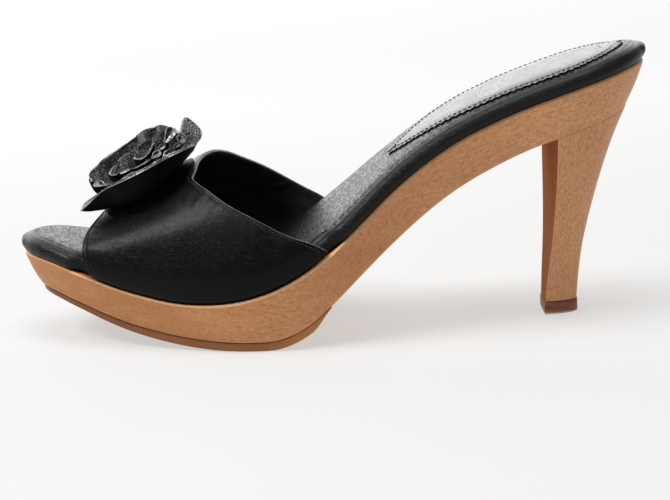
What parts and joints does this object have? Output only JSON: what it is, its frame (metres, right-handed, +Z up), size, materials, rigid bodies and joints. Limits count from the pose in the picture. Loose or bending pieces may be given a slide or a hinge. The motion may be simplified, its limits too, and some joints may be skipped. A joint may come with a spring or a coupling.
{
  "type": "high-heeled mule",
  "caption": "Open-toe leather mule with a leather flower on its vamp, on a wooden platform sole with a high tapered wooden heel and a padded insole.",
  "frame": {"origin": "on the floor, at the middle of the shoe's length and width", "axes": "+X from the toe to the heel, +Y towards the inner side of the foot, +Z up"},
  "size_m": [0.2226, 0.0852, 0.0957],
  "materials": {
    "wood": "sanded pale wood with a thin satin varnish",
    "outsole": "smooth amber rubber",
    "top_piece": "dark brown, lightly worn",
    "insole_leather": "black, fine pebble grain, soft sheen",
    "sock_leather": "black, fine grain, pinked edge",
    "vamp_leather": "black, smooth, semi-matt",
    "flower_leather": "black, crumpled grain on top, smooth below"
  },
  "bodies": {
    "root": {"wooden_sole": "wood", "heel": "wood", "outsole": "outsole", "heel_top_piece": "top_piece", "insole": "insole_leather", "heel_sock": "sock_leather", "vamp": "vamp_leather", "flower_base": "flower_leather", "flower_outer_petal": "flower_leather", "flower_middle_petal": "flower_leather", "flower_inner_petal": "flower_leather", "flower_heart": "flower_leather"}
  },
  "joints": []
}
